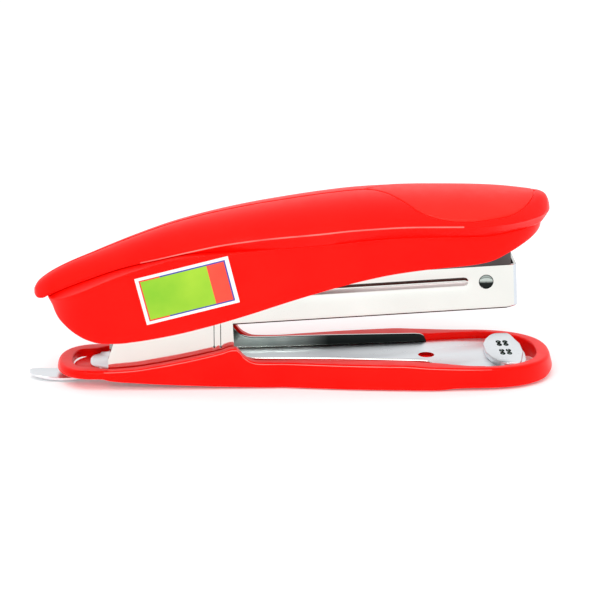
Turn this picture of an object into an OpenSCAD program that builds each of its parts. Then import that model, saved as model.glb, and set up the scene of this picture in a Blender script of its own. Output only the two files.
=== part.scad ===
// Small desk stapler: red moulded base ring and two-part cover, nickel-plated steel works.
// Millimetres. +X to the front (mouth), +Y to the far side, +Z up, ground at Z = 0.

/* [Overall] */
// distance of the hinge pin behind the middle
hinge_back = 31.3; // [28:0.1:34]
// height of the hinge pin above the ground
hinge_height = 16.4; // [15:0.1:18]
// nose-up tilt of the magazine at rest, degrees
mag_tilt = 2.76; // [0:0.01:5]

/* [Magazine] */
// outer half width of the magazine
mag_half = 5.2; // [4.8:0.05:6]
// sheet steel thickness
sheet = 0.6; // [0.4:0.05:0.9]
// distance from hinge to the outer front face
mag_front = 77.1; // [70:0.1:80]
// bottom of the magazine below the hinge line
mag_low = 5.1; // [4.5:0.1:6]
// top of the magazine above the hinge line
mag_high = 4.3; // [3.5:0.1:5]
// length of the loaded staple strip
strip_len = 25; // [5:0.5:40]
// crown width of the staples
crown = 8.8; // [8:0.1:9.4]
// staple leg length
leg = 5; // [4.5:0.1:6]

/* [Handle] */
// gap between magazine and handle frame on each side
side_gap = 0.35; // [0.2:0.05:0.5]
// thickness of the driver blade
blade = 0.45; // [0.3:0.05:0.6]
// wall thickness of the moulded cover
cover_wall = 1.3; // [1:0.1:2]

/* [Base] */
// half width of the steel channel between the hinge cheeks
cheek_half = 7.05; // [6.8:0.05:7.5]
// height of the channel floor
floor_top = 3.4; // [3:0.1:4]
// radius of the hinge pin
pin_r = 1.2; // [1:0.05:1.5]
// height of the anvil face
anvil_top = 4.7; // [4.2:0.1:5]

/* [Hidden] */

hx = -hinge_back;
hz = hinge_height;
run = 0.05;
mag_in = mag_half - sheet;
frame_in = mag_half + side_gap;
frame_out = frame_in + sheet;
floor_low = floor_top - sheet;
core_front = mag_front - 1.9;
crown_top = -mag_low + 0.9 + leg;
core_top = crown_top - 0.55;
strip_back = core_front - strip_len;
// places along the magazine: side rivets, pressed groove and the rod the pusher slides on
rivet_u = 71.1;
rivet_v = 0.91;
groove_v = 1.18;
groove_r = 0.85;
groove_back = 18;
groove_front = 66.6;
rod_v = -1.6;
rod_r = 0.6;
rod_back = 9.3;
core_back = 9;
core_low = -mag_low + sheet + 0.05;
pusher_back = strip_back - 6.5;
pusher_len = 6.4;
// rivets through the handle frame, the anvil and the tongue
frame_rivets = [64, 69];
anvil_rivets_x = [43.2, 45.8];
tongue_rivet_x = -36.1;
rivet_r = 0.9;
anvil_x = 44.4;
floor_hole_x = 28.1;
floor_hole_r = 1.7;
red = [0.86, 0.03, 0.02];
steel = [0.80, 0.81, 0.80];

// half-width and height tables, each [x, value]
ring_out_w = [[-49, 9.3], [-41, 9.5], [-25, 9.8], [-3, 9.8], [2, 10.5], [12, 12], [22, 13], [29, 13.45],
    [55, 13.45]];
ring_in_w = [[-48, 5.4], [-41, 5.8], [-38.4, 7.2], [-8.3, 7.2], [28.4, 9.4], [38, 11], [55, 11]];
ring_top_z = [[-50, 4], [-38.3, 4], [-33.3, 4.25], [-28, 5], [-23.3, 5.85], [-19, 6.75], [-15, 7.7],
    [-12.1, 8.4], [-11.7, 8.3], [-11.3, 7.9], [-10.9, 7.4], [-10.5, 6.95], [-9.9, 6.4], [-9.2, 5.96],
    [-8.5, 5.65], [-7.8, 5.45], [-5, 5.3], [21.7, 5.3], [27.7, 4.95], [36.7, 4.6], [55, 4.5]];
ring_low_z = [[-50, 2.3], [-39.6, 2.3], [-37.3, 1.8], [-31.3, 1.3], [-23.3, 0.8], [-13, 0.3], [-3.3, 0],
    [29, 0], [30.5, 0.1], [33, 0.45], [35.5, 0.6], [46, 0.65], [52, 0.9], [54.5, 1.7]];
skirt_w = [[-51, 10.5], [-36, 10.6], [-6, 10.9], [10, 11], [52, 11]];
skirt_low_z = [[-50.3, 18.2], [-49.8, 17.9], [-49.2, 17.3], [-48.6, 16], [-47.9, 14.9], [-46.6, 13.7],
    [-45.1, 12.6], [-42.1, 11.1], [-39.1, 10.4], [-36, 10.35], [-32.4, 10.7], [-24.7, 12],
    [-16.9, 13.9], [-9.1, 16.2], [-1.4, 18.7], [5.2, 20.7], [12.6, 22.7], [20.3, 24.3], [28.1, 25.3],
    [35.8, 26], [39.7, 26.7], [43.6, 28.3], [46.8, 29.8], [49.6, 31.2], [51.2, 32.2]];
skirt_top_z = [[-50.3, 18.3], [-49.1, 18.6], [-42.7, 21.4], [-37.1, 23.9], [-30.9, 26.1], [-27, 27.3],
    [-24.4, 28], [-20, 28.65], [-13, 29.25], [-5.1, 29.85], [5.2, 30.65], [24.2, 32.1], [36.9, 32.05],
    [45.6, 32.95], [51.2, 33.35]];
cap_w = [[-53, 4.2], [-49.3, 4.4], [-41.3, 5.6], [-33.3, 7], [-26.3, 8.3], [-18.3, 9.6], [-8.3, 11],
    [1.7, 12], [11.7, 12.65], [21.7, 13], [53, 13]];
cap_top_z = [[-53, 19.3], [-52.5, 20.3], [-51.8, 21.1], [-48, 23.6], [-40.1, 27], [-32.2, 30.1],
    [-24.3, 32.8], [-16.4, 34.8], [-8.6, 36.35], [-0.7, 37.6], [5.9, 38.5], [13.4, 39.25], [18.9, 39.5],
    [25.2, 39.6], [33.1, 39.5], [41, 39.2], [49, 38.6], [50.6, 38.5], [51.5, 38.25], [52.1, 37.9],
    [52.6, 37.1], [53, 35.8]];
cap_low_z = [[-53, 18.4], [-52.2, 17.9], [-51.2, 18.1], [-49.8, 18.9], [-41.3, 22.6], [-34.1, 25.3],
    [-27, 27.2], [-20.6, 28.7], [-13, 29.3], [-5.1, 29.9], [5.2, 30.7], [24.2, 32.15], [36.9, 32.1],
    [45.6, 33], [50.2, 33.4], [50.7, 33.65], [51.4, 34.2], [52.2, 34.75], [53, 35.1]];
cap_lip_z = [[-53, 18.6], [-52.2, 18.1], [-51.2, 18.3], [-49.8, 19.1], [-41.3, 22.8], [-34.1, 25.5],
    [-27, 27.4], [-20.6, 29.1], [-14.4, 30.6], [-5.2, 32.1], [5.1, 33.2], [12.4, 34], [23.9, 34.6],
    [36.6, 34.5], [46.6, 34.9], [53, 35.2]];
pad_w = [[14.7, 0.05], [17, 1.3], [19.2, 3.3], [20.9, 5.25], [23, 7.6], [25.2, 9.6], [27.6, 10.8],
    [30.2, 11.5], [33, 11.8], [35.5, 11.8], [38.2, 11.5], [40.9, 10.9], [42.8, 10.3], [44.5, 9.4],
    [46.4, 7.7], [48, 5.5], [49, 3.5], [49.5, 1.9], [49.8, 0.05]];

function mix(a, b, t) = a * (1 - t) + b * t;
function tapered(s, n) = s >= 1 ? 1 : pow(max(0.000001, 1 - pow(1 - max(s, 0), n)), 1 / n);
function ends(x, x0, r0, x1, r1, n) = tapered((x - x0) / r0, n) * tapered((x1 - x) / r1, n);
function ring_out(x) = lookup(x, ring_out_w) * ends(x, -48.75, 8, 54.5, 17.8, 2.3);
function ring_in(x) = lookup(x, ring_in_w) * ends(x, -45.4, 2.4, 51, 13, 2.3);
function skirt_out(x) = lookup(x, skirt_w) * ends(x, -50.3, 12, 51.2, 14, 2.2);
function cap_out(x) = lookup(x, cap_w) * ends(x, -53, 3.6, 53, 16.3, 2);
function cap_drop(x) = lookup(x, cap_top_z) - lookup(x, cap_lip_z);
function cap_z(x, y) = lookup(x, cap_top_z) - cap_drop(x) * pow(min(1, abs(y) / max(0.01, cap_out(x))), 2.3);

ring_x = concat(
    [for (k = [0:8]) -48.75 + 10.45 * (1 - cos(k * 90 / 8))],
    [-33.3, -28, -23.3, -19, -15, -12.1, -11.7, -11.3, -10.9, -10.5, -9.9, -9.2, -8.5, -7.8],
    [-5, -1, 4, 10, 16, 21.7, 27.7, 29, 30.5, 33],
    [for (k = [0:11]) 36.7 + 17.8 * sin(k * 90 / 11)]);

// closes a run of stations, each a closed loop, round on itself
module closed_band(rings) {
    n = len(rings);
    m = len(rings[0]);
    pts = [for (r = rings) each r];
    faces = [for (i = [0:n - 1]) for (j = [0:m - 1])
        each [[i * m + j, ((i + 1) % n) * m + (j + 1) % m, i * m + (j + 1) % m],
              [i * m + j, ((i + 1) % n) * m + j, ((i + 1) % n) * m + (j + 1) % m]]];
    polyhedron(points = pts, faces = faces, convexity = 8);
}

// stations whose loops are an upper row followed by a lower row back, ends closed
module capped_band(rings) {
    n = len(rings);
    m = len(rings[0]);
    h = m / 2;
    pts = [for (r = rings) each r];
    b = (n - 1) * m;
    sides = [for (i = [0:n - 2]) for (j = [0:m - 1])
        each [[i * m + j, i * m + (j + 1) % m, (i + 1) * m + (j + 1) % m],
              [i * m + j, (i + 1) * m + (j + 1) % m, (i + 1) * m + j]]];
    first = [for (j = [0:h - 2]) each [[j, m - 2 - j, j + 1], [j, m - 1 - j, m - 2 - j]]];
    last = [for (j = [0:h - 2])
        each [[b + j, b + j + 1, b + m - 2 - j], [b + j, b + m - 2 - j, b + m - 1 - j]]];
    polyhedron(points = pts, faces = concat(sides, first, last), convexity = 8);
}

// puts a shape drawn about the hinge into place, along the tilted magazine
module works() {
    translate([hx, 0, hz]) rotate([0, -mag_tilt, 0]) children();
}

// plate seen from the side, drawn as [u, v], standing at y0 with thickness t
module side_plate(points, y0, t) {
    translate([0, y0 + t, 0]) rotate([90, 0, 0]) linear_extrude(t) polygon(points);
}

module cross_pin(u, v, r, y0, y1) {
    translate([u, y1, v]) rotate([90, 0, 0]) cylinder(r = r, h = y1 - y0, $fn = 32);
}

// stations of the ring's inner and upper edges, drawn in towards the rounded ends
function ring_inner_x(x) =
    x < -38.3 ? mix(-45.4, -38.3, (x + 48.75) / 10.45)
    : x > 36.7 ? mix(36.7, 51, (x - 36.7) / 17.8)
    : x;
function ring_upper_x(x) =
    x < -38.3 ? mix(-48.3, -38.3, (x + 48.75) / 10.45)
    : x > 36.7 ? mix(36.7, 53.7, (x - 36.7) / 17.8)
    : x;
function ring_loop(x, s) =
    let (xi = ring_inner_x(x), xu = ring_upper_x(x))
    let (wo = ring_out(x), wi = ring_in(xi), wt = max(0, wo - 0.15))
    let (zb = lookup(x, ring_low_z), zt = lookup(x, ring_top_z))
    [[xi, s * wi, zb],
     [x, s * wo, zb + 0.2],
     [x, s * (wo + 0.05), (zb + zt) / 2],
     [xu, s * wt, zt - 0.45],
     [mix(xu, xi, 0.15), s * mix(wt, wi, 0.15), zt],
     [mix(xu, xi, 0.9), s * mix(wo, wi, 0.9), zt],
     [xi, s * wi, zt - 0.3]];

module base_ring() {
    last = len(ring_x) - 1;
    near_side = [for (i = [0:last]) ring_loop(ring_x[i], 1)];
    far_side = [for (i = [last - 1:-1:1]) ring_loop(ring_x[i], -1)];
    half = [[-45.2, 0], [-44.9, 1.5], [-44.1, 3], [-42.9, 4.4], [-41.6, 5.4], [-40.6, 6.3], [-38.2, 7.6],
        [-37.6, 7.6]];
    ledge = concat(half, [for (i = [len(half) - 1:-1:1]) [half[i][0], -half[i][1]]]);
    color(red) union() {
        closed_band(concat(near_side, far_side));
        // rear ledge under the steel channel
        translate([0, 0, 2.38]) linear_extrude(0.38) polygon(ledge);
        // cross web under the channel, with its flat foot on the ground
        translate([20, -11.9, 0]) cube([9, 23.8, 2.7]);
        translate([28.5, -11.9, 0.8]) cube([9.5, 23.8, 1.9]);
    }
}

// the channel: flat floor, sides folded up along the middle, hinge cheeks at the rear
module channel_blank() {
    half = [[-41.9, 0], [-41.8, 2], [-41.3, 3.3], [-40.6, 4.1], [-39.85, 4.5], [-39.8, 5.6], [-38, 5.6],
        [-37.4, 7.05], [-8.3, 7.05],
        [28.4, 9.2], [38, 10.4], [43, 10.2], [46, 8.8], [48, 6.2], [48.8, 3], [48.9, 0]];
    mirrored = [for (i = [len(half) - 2:-1:1]) [half[i][0], -half[i][1]]];
    cheek = [[-38, floor_low], [-38, 6], [-36.9, 8.95], [-35.6, 15.6], [-34.6, 18.6], [-32.6, 20.2],
        [-30.2, 20.3], [-27.5, 19.2], [-14, 16.6], [-12.5, 15.6], [-12.3, 10], [-12.1, 7.9], [-11.3, 7.2],
        [-10.5, 6.5], [-9.2, 5.9], [-7.8, 5.7], [-7.8, floor_low]];
    flange = [[-0.3, floor_low], [37, floor_low], [37.2, 3.9], [36.7, 4.6], [35.8, 4.9], [8, 5.7],
        [-0.3, 5.75]];
    translate([0, 0, floor_low]) linear_extrude(sheet) polygon(concat(half, mirrored));
    for (s = [-1, 1]) {
        side_plate(cheek, s > 0 ? cheek_half - sheet : -cheek_half, sheet);
        translate([-8.3, s * 7.05, 0]) rotate([0, 0, s * 3.35]) side_plate(flange, s > 0 ? -sheet : 0, sheet);
    }
}

module base_plate() {
    color(steel) difference() {
        channel_blank();
        translate([floor_hole_x, 0, 0]) cylinder(r = floor_hole_r, h = 6, $fn = 40);
        cross_pin(hx, hz, pin_r, -8, 8);
        // two fine slots either side of a lanced tab in each cheek
        for (x = [-16.3, -15.1]) translate([x, -8, 8.3]) cube([0.25, 16, 6]);
        for (x = concat(anvil_rivets_x, [tongue_rivet_x])) {
            translate([x, 0, 0]) cylinder(r = rivet_r, h = 6, $fn = 32);
        }
    }
}

module anvil_plate() {
    front = [[-1.7, 9.1], [1.8, 9.1], [3.1, 6], [4, 2.5], [4, -2.5], [3.1, -6], [1.8, -9.1]];
    rear = [[-1.7, -9.1], [-3.4, -6], [-4.1, -2.5], [-4.1, 2.5], [-3.4, 6]];
    foot = floor_top + 0.02;
    color(steel) difference() {
        translate([anvil_x, 0, foot]) linear_extrude(anvil_top - foot)
            offset(r = 1.2, $fn = 32) offset(delta = -1.2) polygon(concat(front, rear));
        // two forming pockets, each a pair of short troughs
        for (s = [-1, 1]) {
            for (x = [-0.65, 0.65]) {
                translate([anvil_x + x, s * 2.86, anvil_top]) scale([0.32, 1, 0.25])
                    sphere(r = 1.75, $fn = 32);
            }
        }
        for (x = anvil_rivets_x) translate([x, 0, 0]) cylinder(r = rivet_r, h = 4.25, $fn = 32);
    }
}

module anvil_rivets() {
    color(steel) for (x = anvil_rivets_x) {
        translate([x, 0, floor_low - 0.6]) cylinder(r = 1.3, h = 0.58, $fn = 32);
        translate([x, 0, floor_low - 0.3]) cylinder(r = rivet_r, h = 1.7, $fn = 32);
    }
}

// tongue under the tail, dipped and tapered to slip under a staple
module staple_remover() {
    tongue = [[-54.5, 0], [-54.3, 1.2], [-53.6, 2.1], [-52, 2.7], [-47, 3.3], [-42, 3.7], [-33, 3.7]];
    mirrored = [for (i = [len(tongue) - 1:-1:1]) [tongue[i][0], -tongue[i][1]]];
    mid = [[-54.5, 1.7], [-53, 1.45], [-50, 1.1], [-47, 1.0], [-43, 1.25], [-40, 2.05], [-34, 2.15],
        [-34, 1.6], [-39.8, 1.55], [-43, 0.75], [-47, 0.4], [-50, 0.5], [-53, 0.95], [-54.5, 1.3]];
    color(steel) difference() {
        intersection() {
            side_plate(mid, -5, 10);
            translate([0, 0, -1]) linear_extrude(6) polygon(concat(tongue, mirrored));
        }
        translate([tongue_rivet_x, 0, 0]) cylinder(r = rivet_r, h = 6, $fn = 32);
    }
}

module remover_rivets() {
    color(steel) translate([tongue_rivet_x, 0, 0]) {
        translate([0, 0, floor_top + 0.02]) cylinder(r = 1.6, h = 0.5, $fn = 32);
        translate([0, 0, 1.3]) cylinder(r = rivet_r, h = 2.4, $fn = 32);
        translate([0, 0, 1.0]) cylinder(r = 1.5, h = 0.5, $fn = 32);
    }
}

module hinge_pin() {
    color(steel) {
        cross_pin(hx, hz, pin_r, -cheek_half - 0.3, cheek_half + 0.3);
        cross_pin(hx, hz, 1.9, cheek_half + 0.02, cheek_half + 0.6);
        cross_pin(hx, hz, 1.9, -cheek_half - 0.6, -cheek_half - 0.02);
    }
}

// leaf spring between the base and the underside of the magazine
module return_spring() {
    lower = [[-34, 3.5], [-30, 3.55], [-27, 4], [-24, 5.2], [-21, 7], [-18, 9], [-15.5, 10.5], [-14, 10.9],
        [-12.8, 10.7]];
    upper = [for (i = [len(lower) - 1:-1:0]) [lower[i][0] - 0.1, lower[i][1] + 0.4]];
    color(steel) side_plate(concat(lower, upper), -3.2, 6.4);
}

module magazine_shell() {
    wall = [[-6, -3], [-4.6, -mag_low], [75.7, -mag_low], [76.5, -4.5], [76.5, mag_high], [-4, mag_high],
        [-6, 3]];
    nose = -4.75;
    nose_high = mag_high - nose;
    front_back = mag_front - sheet;
    room = core_front + 0.05;
    color(steel) works() difference() {
        union() {
            side_plate(wall, -mag_half, sheet);
            side_plate(wall, mag_in, sheet);
            translate([4, -mag_half, -mag_low]) cube([core_front - 4, 2 * mag_half, sheet]);
            translate([front_back, 0.35 - mag_half, nose]) cube([sheet, 2 * mag_half - 0.7, nose_high]);
            for (s = [-1, 1]) {
                translate([front_back, s * mag_in, nose]) cylinder(r = sheet, h = nose_high, $fn = 40);
            }
        }
        cross_pin(0, 0, pin_r + run, -7, 7);
        cross_pin(rivet_u, rivet_v, 1.4, -7, 7);
        // room for the driver behind the front wall
        translate([room, -mag_in, -6]) cube([front_back - room, 2 * mag_in, 12]);
        // long pressed groove in each side
        for (s = [-1, 1]) {
            translate([groove_back, s * (mag_half + 0.55), groove_v]) rotate([0, 90, 0])
                cylinder(r = groove_r, h = groove_front - groove_back, $fn = 40);
            translate([groove_front, s * (mag_half + 0.55), groove_v]) sphere(r = groove_r, $fn = 40);
        }
    }
}

// the channel inside the magazine that the staples ride on
module staple_core() {
    half = crown / 2 - 0.55;
    run_len = core_front - core_back;
    color(steel) works() {
        translate([core_back, -half, core_low]) cube([run_len, 2 * half, sheet]);
        for (y = [-half, half - sheet]) {
            translate([core_back, y, core_low]) cube([run_len, sheet, core_top - core_low]);
        }
    }
}

module side_rivets() {
    color(steel) works() for (s = [-1, 1]) {
        cross_pin(rivet_u, rivet_v, 1.4, s > 0 ? mag_in : -mag_half - 0.1, s > 0 ? mag_half + 0.1 : -mag_in);
    }
}

module staple_strip() {
    half = crown / 2;
    color([0.75, 0.76, 0.78]) works() {
        translate([strip_back, -half, crown_top - 0.5]) cube([strip_len, crown, 0.5]);
        for (y = [-half, half - 0.5]) translate([strip_back, y, crown_top - leg]) cube([strip_len, 0.5, leg]);
    }
}

module rod_block() {
    color(steel) works() difference() {
        translate([rod_back, -3.1, -3.75]) cube([2, 6.2, 4.3]);
        translate([core_back, 0, rod_v]) rotate([0, 90, 0]) cylinder(r = rod_r, h = 3, $fn = 24);
    }
}

module pusher_rod() {
    color(steel) works() translate([rod_back, 0, rod_v]) rotate([0, 90, 0])
        cylinder(r = rod_r, h = core_front - rod_back, $fn = 24);
}

// coil spring round the rod, a square loop of wire carried along a helix
module pusher_spring() {
    turns = 17;
    steps = 10;
    wire = 0.2;
    r = 1.15;
    u0 = rod_back + 2.2 + wire;
    u1 = pusher_back - 0.1 - wire;
    rings = [for (i = [0:turns * steps])
        let (a = i * 360 / steps, u = mix(u0, u1, i / (turns * steps)))
        [for (j = [0:3])
            let (b = -j * 90, d = r + wire * sin(b))
            [u + wire * cos(b), d * cos(a), rod_v + d * sin(a)]]];
    color(steel) works() capped_band(rings);
}

module pusher() {
    cheek = 0.45;
    color([0.2, 0.2, 0.22]) works() difference() {
        union() {
            translate([pusher_back, -crown / 2, core_top + 0.15]) cube([pusher_len, crown, 0.6]);
            for (y = [-crown / 2, crown / 2 - cheek]) {
                translate([pusher_back, y, -3.6]) cube([pusher_len, cheek, core_top + 3.9]);
            }
            translate([pusher_back, -2.9, -3.5]) cube([pusher_len, 5.8, core_top + 3.8]);
        }
        translate([pusher_back - 0.5, 0, rod_v]) rotate([0, 90, 0])
            cylinder(r = rod_r + run, h = 8, $fn = 24);
    }
}

frame_side = [[-3.4, -1.4], [-2, -3.1], [0, -3.6], [2.4, -3.2], [12, -0.4], [22, 3.2], [27, 4.6], [76.2, 4.6],
    [76.2, 8.5], [75, 12], [72, 12.2], [3, 7], [-1.8, 3.2], [-3.3, 1.6]];
frame_roof = [[3, 6.4], [72.8, 11.62], [75, 11.4], [75, 12], [72.8, 12.22], [3, 7]];

module handle_frame() {
    color([0.55, 0.54, 0.52]) works() difference() {
        union() {
            side_plate(frame_side, frame_in, sheet);
            side_plate(frame_side, -frame_out, sheet);
            side_plate(frame_roof, -frame_out, 2 * frame_out);
        }
        cross_pin(0, 0, pin_r + run, -8, 8);
        for (u = frame_rivets) translate([u, 0, 8]) cylinder(r = rivet_r, h = 6, $fn = 24);
    }
}

// blade that shears the front staple, bent over at the top and riveted under the frame
module driver_blade() {
    back = 75.65;
    profile = [[back, 1.1], [back + blade, 1.1], [75.3 + blade, 9.6], [74.6, 11], [73, 11.4], [60, 10.5],
        [60, 10.05], [73, 10.95], [74.3, 10.6], [75.3, 9.2]];
    color(steel) works() difference() {
        side_plate(profile, 0.15 - crown / 2, crown - 0.3);
        for (u = frame_rivets) translate([u, 0, 8]) cylinder(r = rivet_r, h = 6, $fn = 24);
    }
}

module driver_rivets() {
    slope = 0.0748;
    color(steel) works() for (u = frame_rivets) {
        translate([u, 0, u * slope]) {
            translate([0, 0, 5.15]) cylinder(r = rivet_r, h = 2.6, $fn = 24);
            translate([0, 0, 5.0]) cylinder(r = 1.4, h = 0.4, $fn = 24);
            translate([0, 0, 7.0]) cylinder(r = 1.4, h = 0.5, $fn = 24);
        }
    }
}

// leaf spring that lifts the handle off the magazine and holds the staples down
module handle_spring() {
    low = [[6, 4.75], [10, 4.7], [14, 4.75], [20, 5.1], [28, 6.2], [36, 7.4], [44, 8.3], [50, 8.85],
        [54, 9.1]];
    top = [for (i = [len(low) - 1:-1:0]) [low[i][0] - 0.05, low[i][1] + 0.35]];
    color(steel) works() side_plate(concat(low, top), -2.6, 5.2);
}

skirt_x = concat(
    [for (k = [0:10]) -50.3 + 12.3 * (1 - cos(k * 90 / 10))],
    [for (k = [1:15]) -38 + k * 75 / 15],
    [for (k = [1:12]) 37 + 14.2 * sin(k * 90 / 12)]);
function skirt_inner_x(x) =
    x < -38 ? mix(-49, -38, (x + 50.3) / 12.3)
    : x > 37 ? mix(37, 49.9, (x - 37) / 14.2)
    : x;
function skirt_inner_w(x) = lookup(x, skirt_w) * ends(x, -49, 11, 49.9, 13, 2.2) - cover_wall;
function skirt_loop(x, s) =
    let (xi = skirt_inner_x(x), wo = skirt_out(x))
    let (wi = max(0, min(wo - 0.02, skirt_inner_w(xi))))
    let (ws = max(0, min(wi, cap_out(xi) - 1.1)))
    let (zb = lookup(x, skirt_low_z), zs = lookup(xi, cap_low_z) - 0.08)
    let (zt = max(zb + 0.15, lookup(x, skirt_top_z)))
    let (za = max(min(zt, zs) - 1.3, zb + 0.15), zc = max(zs - 1.1, za + 0.15))
    [[x, s * wo, zb],
     [x, s * (wo + 0.02), mix(zb, zt, 0.5)],
     [x, s * (wo - 0.02), zt - 0.06],
     [mix(x, xi, 0.2), s * mix(wo, wi, 0.2), mix(zt, zs, 0.12) - 0.02],
     [xi, s * ws, zs],
     [xi, s * ws, zc],
     [xi, s * wi, za],
     [xi, s * wi, zb]];

module cover_skirt() {
    last = len(skirt_x) - 1;
    near_side = [for (i = [0:last]) skirt_loop(skirt_x[i], 1)];
    far_side = [for (i = [last - 1:-1:1]) skirt_loop(skirt_x[i], -1)];
    color(red) closed_band(concat(near_side, far_side));
}

cap_x = concat(
    [for (k = [0:8]) -52.98 + 8 * (1 - cos(k * 90 / 8))],
    [for (k = [1:20]) -44.98 + k * 82 / 20],
    [for (k = [1:14]) 37.02 + 15.96 * sin(k * 90 / 14)]);
arc = 10;
function cap_loop(x) =
    let (wc = cap_out(x), wj = min(0.9 * wc, skirt_out(x) > 3 ? skirt_out(x) : 0.85 * wc))
    let (wi = max(0.6 * wj, wj - cover_wall), zj = lookup(x, cap_low_z))
    let (zt = lookup(x, cap_top_z), zi = max(zj + 0.05, zt - cover_wall - 0.1))
    concat(
        [[x, -wj, zj]],
        [for (k = [-arc:arc]) [x, wc * k / arc, zt - cap_drop(x) * pow(abs(k) / arc, 2.3)]],
        [[x, wj, zj], [x, wi, zj]],
        [for (k = [arc:-1:-arc]) [x, wi * k / arc, zi - (zi - zj - 0.04) * pow(abs(k) / arc, 2.3)]],
        [[x, -wi, zj]]);

module cover_cap() {
    color(red) capped_band([for (x = cap_x) cap_loop(x)]);
}

// slightly proud inset that the thumb presses, laid on the crown of the cap
module thumb_pad() {
    xs = [for (k = [0:26]) 32.25 - 17.5 * cos(k * 180 / 26)];
    function place(x, k, rise) = let (y = lookup(x, pad_w) * k / 8) [x, y, cap_z(x, y) + rise];
    color([0.9, 0.12, 0.09]) capped_band([for (x = xs) concat(
        [for (k = [-8:8]) place(x, k, 0.06 + 0.22 * (1 - pow(abs(k) / 8, 8)))],
        [for (k = [8:-1:-8]) place(x, k, 0.03)])]);
}

// plain sticker on the near side of the skirt, along its slope
module label() {
    color([0.75, 0.9, 0.4]) translate([-21.66, -10.8, 21.57]) rotate([0, 0, -0.57]) rotate([0, -13.8, 0])
        translate([-9.7, -0.12, -5]) cube([19.4, 0.12, 10]);
}

base_ring();
base_plate();
anvil_plate();
anvil_rivets();
staple_remover();
remover_rivets();
hinge_pin();
return_spring();
magazine_shell();
staple_core();
side_rivets();
staple_strip();
pusher_rod();
rod_block();
pusher_spring();
pusher();
handle_frame();
driver_blade();
driver_rivets();
handle_spring();
cover_skirt();
cover_cap();
thumb_pad();
label();
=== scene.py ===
"""Small desk stapler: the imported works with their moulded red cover, base ring and bright nickel parts."""

import math

import bmesh
import bpy
import numpy as np
from mathutils import Matrix, Vector


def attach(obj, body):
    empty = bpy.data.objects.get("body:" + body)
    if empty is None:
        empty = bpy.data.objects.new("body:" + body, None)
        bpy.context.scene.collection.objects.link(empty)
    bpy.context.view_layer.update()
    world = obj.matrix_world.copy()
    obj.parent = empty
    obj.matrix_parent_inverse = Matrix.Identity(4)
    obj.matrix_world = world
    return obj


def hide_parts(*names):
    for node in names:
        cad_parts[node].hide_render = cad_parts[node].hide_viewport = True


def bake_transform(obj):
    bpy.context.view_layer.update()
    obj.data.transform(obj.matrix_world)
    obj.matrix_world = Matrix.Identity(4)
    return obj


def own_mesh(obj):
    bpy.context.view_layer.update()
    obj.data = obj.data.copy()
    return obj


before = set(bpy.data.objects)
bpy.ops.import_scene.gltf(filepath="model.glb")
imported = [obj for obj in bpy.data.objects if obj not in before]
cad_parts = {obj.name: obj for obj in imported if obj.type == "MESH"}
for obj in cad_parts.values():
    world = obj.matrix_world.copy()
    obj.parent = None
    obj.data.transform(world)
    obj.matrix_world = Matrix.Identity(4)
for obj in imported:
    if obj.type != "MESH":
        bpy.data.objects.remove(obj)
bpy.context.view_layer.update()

MM = 0.001

# ---------------------------------------------------------------- shape laws, in millimetres, each (x, value)

HINGE = (-31.3, 16.4)
TILT = math.radians(2.76)
RING_TIPS = (-48.75, 54.5)
SKIRT_TIPS = (-50.3, 51.2)
CAP_TIPS = (-53, 53)
PAD_TIPS = (14.7, 49.8)

RING_OUT = [(-49, 9.3), (-41, 9.5), (-25, 9.8), (-3, 9.8), (2, 10.5), (12, 12), (22, 13), (29, 13.45), (55, 13.45)]
RING_IN = [(-48, 5.4), (-41, 5.8), (-38.4, 7.2), (-8.3, 7.2), (28.4, 9.4), (38, 11), (55, 11)]
RING_TOP = [(-50, 4), (-38.3, 4), (-33.3, 4.25), (-28, 5), (-23.3, 5.85), (-19, 6.75), (-15, 7.7), (-12.6, 8.4),
            (-11.9, 8.42), (-11.3, 8.0), (-10.9, 7.45), (-10.5, 6.95), (-9.9, 6.4), (-9.2, 5.96), (-8.5, 5.65),
            (-7.8, 5.45), (-6, 5.33), (-4, 5.3), (21.7, 5.3), (27.7, 4.95), (36.7, 4.6), (55, 4.5)]
RING_LOW = [(-50, 2.3), (-39.6, 2.3), (-37.3, 1.8), (-31.3, 1.3), (-23.3, 0.8), (-13, 0.3), (-3.3, 0.02), (29, 0.02),
            (30.5, 0.1), (33, 0.34), (35.5, 0.4), (46, 0.3), (52, 0.5), (54.5, 1.4)]
SKIRT_OUT = [(-51, 10.5), (-36, 10.6), (-6, 10.9), (10, 11), (52, 11)]
SKIRT_LOW = [(-50.3, 18.2), (-49.8, 17.9), (-49.2, 17.3), (-48.6, 16), (-47.9, 14.9), (-46.6, 13.7), (-45.1, 12.6),
             (-42.1, 11.1), (-39.1, 10.4), (-36, 10.35), (-32.4, 10.7), (-24.7, 12), (-16.9, 13.9), (-9.1, 16.2),
             (-1.4, 18.7), (5.2, 20.7), (12.6, 22.7), (20.3, 24.3), (28.1, 25.3), (35.8, 26), (39.7, 26.7),
             (43.6, 28.3), (46.8, 29.8), (49.6, 31.2), (51.2, 32.2)]
SKIRT_TOP = [(-50.3, 18.3), (-49.1, 18.6), (-42.7, 21.4), (-37.1, 23.9), (-30.9, 26.1), (-27, 27.3), (-24.4, 28),
             (-20, 28.65), (-13, 29.25), (-5.1, 29.85), (5.2, 30.65), (24.2, 32.1), (36.9, 32.05), (45.6, 32.95),
             (51.2, 33.35)]
CAP_OUT = [(-53, 4.2), (-49.3, 4.4), (-41.3, 5.6), (-33.3, 7), (-26.3, 8.3), (-18.3, 9.6), (-8.3, 11), (1.7, 12),
           (11.7, 12.65), (21.7, 13), (53, 13)]
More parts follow.
